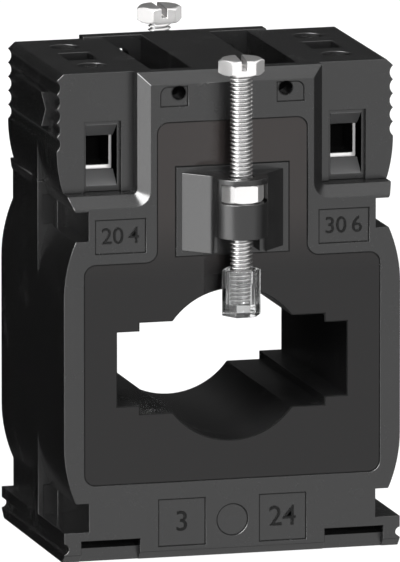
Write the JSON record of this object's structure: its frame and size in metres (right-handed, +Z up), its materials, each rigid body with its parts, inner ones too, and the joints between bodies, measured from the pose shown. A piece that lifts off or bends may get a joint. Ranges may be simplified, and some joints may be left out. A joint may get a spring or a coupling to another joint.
{
  "type": "current transformer",
  "caption": "Window-type current transformer for a round cable or flat bars, with screw clamps front and rear and lift-clamp terminals in two ribbed blocks",
  "frame": {"origin": "middle of the housing's underside, on the surface it stands on", "axes": "X across the front, Y from front to rear along the conductor, Z up"},
  "size_m": [0.0616, 0.0636, 0.0881],
  "materials": {
    "housing_plastic": "dark grey moulded plastic with a fine matt surface",
    "zinc_steel": "bright zinc-plated steel",
    "nickel_brass": "nickel-plated brass",
    "clear_plastic": "clear moulded plastic",
    "core_steel": "wound silicon steel strip",
    "cover_plastic": "natural insulating plastic",
    "copper_winding": "enamelled copper wire"
  },
  "bodies": {
    "housing": {"front_housing": "housing_plastic", "rear_housing": "housing_plastic", "left_terminal_block": "housing_plastic", "left_terminal_bar": "nickel_brass", "left_winding_lead": "copper_winding", "right_terminal_block": "housing_plastic", "right_terminal_bar": "nickel_brass", "right_winding_lead": "copper_winding", "front_clamp_bracket": "housing_plastic", "front_clamp_nut": "zinc_steel", "front_core_cover": "cover_plastic", "rear_clamp_bracket": "housing_plastic", "rear_clamp_nut": "zinc_steel", "rear_core_cover": "cover_plastic", "core": "core_steel", "secondary_winding": "copper_winding"},
    "front_clamp_cap": {"front_screw_cap": "clear_plastic"},
    "front_clamp_spindle": {"front_clamp_screw": "zinc_steel"},
    "front_left_lift": {"front_left_cage": "zinc_steel"},
    "front_left_driver": {"front_left_terminal_screw": "zinc_steel"},
    "front_right_lift": {"front_right_cage": "zinc_steel"},
    "front_right_driver": {"front_right_terminal_screw": "zinc_steel"},
    "rear_clamp_cap": {"rear_screw_cap": "clear_plastic"},
    "rear_clamp_spindle": {"rear_clamp_screw": "zinc_steel"},
    "rear_left_lift": {"rear_left_cage": "zinc_steel"},
    "rear_left_driver": {"rear_left_terminal_screw": "zinc_steel"},
    "rear_right_lift": {"rear_right_cage": "zinc_steel"},
    "rear_right_driver": {"rear_right_terminal_screw": "zinc_steel"}
  },
  "joints": [
    {"name": "front_clamp_travel", "type": "slide", "parent": "housing", "child": "front_clamp_cap", "axis": [0, 0, 1], "range_m": [-0.0175, 0.0053]},
    {"name": "front_clamp_turn", "type": "hinge", "parent": "front_clamp_cap", "child": "front_clamp_spindle", "pos_m": [0, -0.0271, 0.07], "axis": [0, 0, 1], "range_deg": [-9001, 2727]},
    {"name": "front_left_clamp_lift", "type": "slide", "parent": "housing", "child": "front_left_lift", "axis": [0, 0, 1], "range_m": [0, 0.0035]},
    {"name": "front_left_screw_turn", "type": "hinge", "parent": "housing", "child": "front_left_driver", "pos_m": [-0.0218, -0.00935, 0.078], "axis": [0, 0, 1], "range_deg": [-2521, 0]},
    {"name": "front_right_clamp_lift", "type": "slide", "parent": "housing", "child": "front_right_lift", "axis": [0, 0, 1], "range_m": [0, 0.0035]},
    {"name": "front_right_screw_turn", "type": "hinge", "parent": "housing", "child": "front_right_driver", "pos_m": [0.0218, -0.00935, 0.078], "axis": [0, 0, 1], "range_deg": [-2521, 0]},
    {"name": "rear_clamp_travel", "type": "slide", "parent": "housing", "child": "rear_clamp_cap", "axis": [0, 0, 1], "range_m": [-0.0175, 0.0053]},
    {"name": "rear_clamp_turn", "type": "hinge", "parent": "rear_clamp_cap", "child": "rear_clamp_spindle", "pos_m": [0, 0.0271, 0.07], "axis": [0, 0, 1], "range_deg": [-9001, 2727]},
    {"name": "rear_left_clamp_lift", "type": "slide", "parent": "housing", "child": "rear_left_lift", "axis": [0, 0, 1], "range_m": [0, 0.0035]},
    {"name": "rear_left_screw_turn", "type": "hinge", "parent": "housing", "child": "rear_left_driver", "pos_m": [-0.0218, 0.00935, 0.078], "axis": [0, 0, 1], "range_deg": [-2521, 0]},
    {"name": "rear_right_clamp_lift", "type": "slide", "parent": "housing", "child": "rear_right_lift", "axis": [0, 0, 1], "range_m": [0, 0.0035]},
    {"name": "rear_right_screw_turn", "type": "hinge", "parent": "housing", "child": "rear_right_driver", "pos_m": [0.0218, 0.00935, 0.078], "axis": [0, 0, 1], "range_deg": [-2521, 0]}
  ],
  "couplings": [
    {"joint": "front_clamp_turn", "follows": "front_clamp_travel", "rad_per_m": 8976},
    {"joint": "front_left_screw_turn", "follows": "front_left_clamp_lift", "rad_per_m": -12566},
    {"joint": "front_right_screw_turn", "follows": "front_right_clamp_lift", "rad_per_m": -12566},
    {"joint": "rear_clamp_turn", "follows": "rear_clamp_travel", "rad_per_m": 8976},
    {"joint": "rear_left_screw_turn", "follows": "rear_left_clamp_lift", "rad_per_m": -12566},
    {"joint": "rear_right_screw_turn", "follows": "rear_right_clamp_lift", "rad_per_m": -12566}
  ]
}
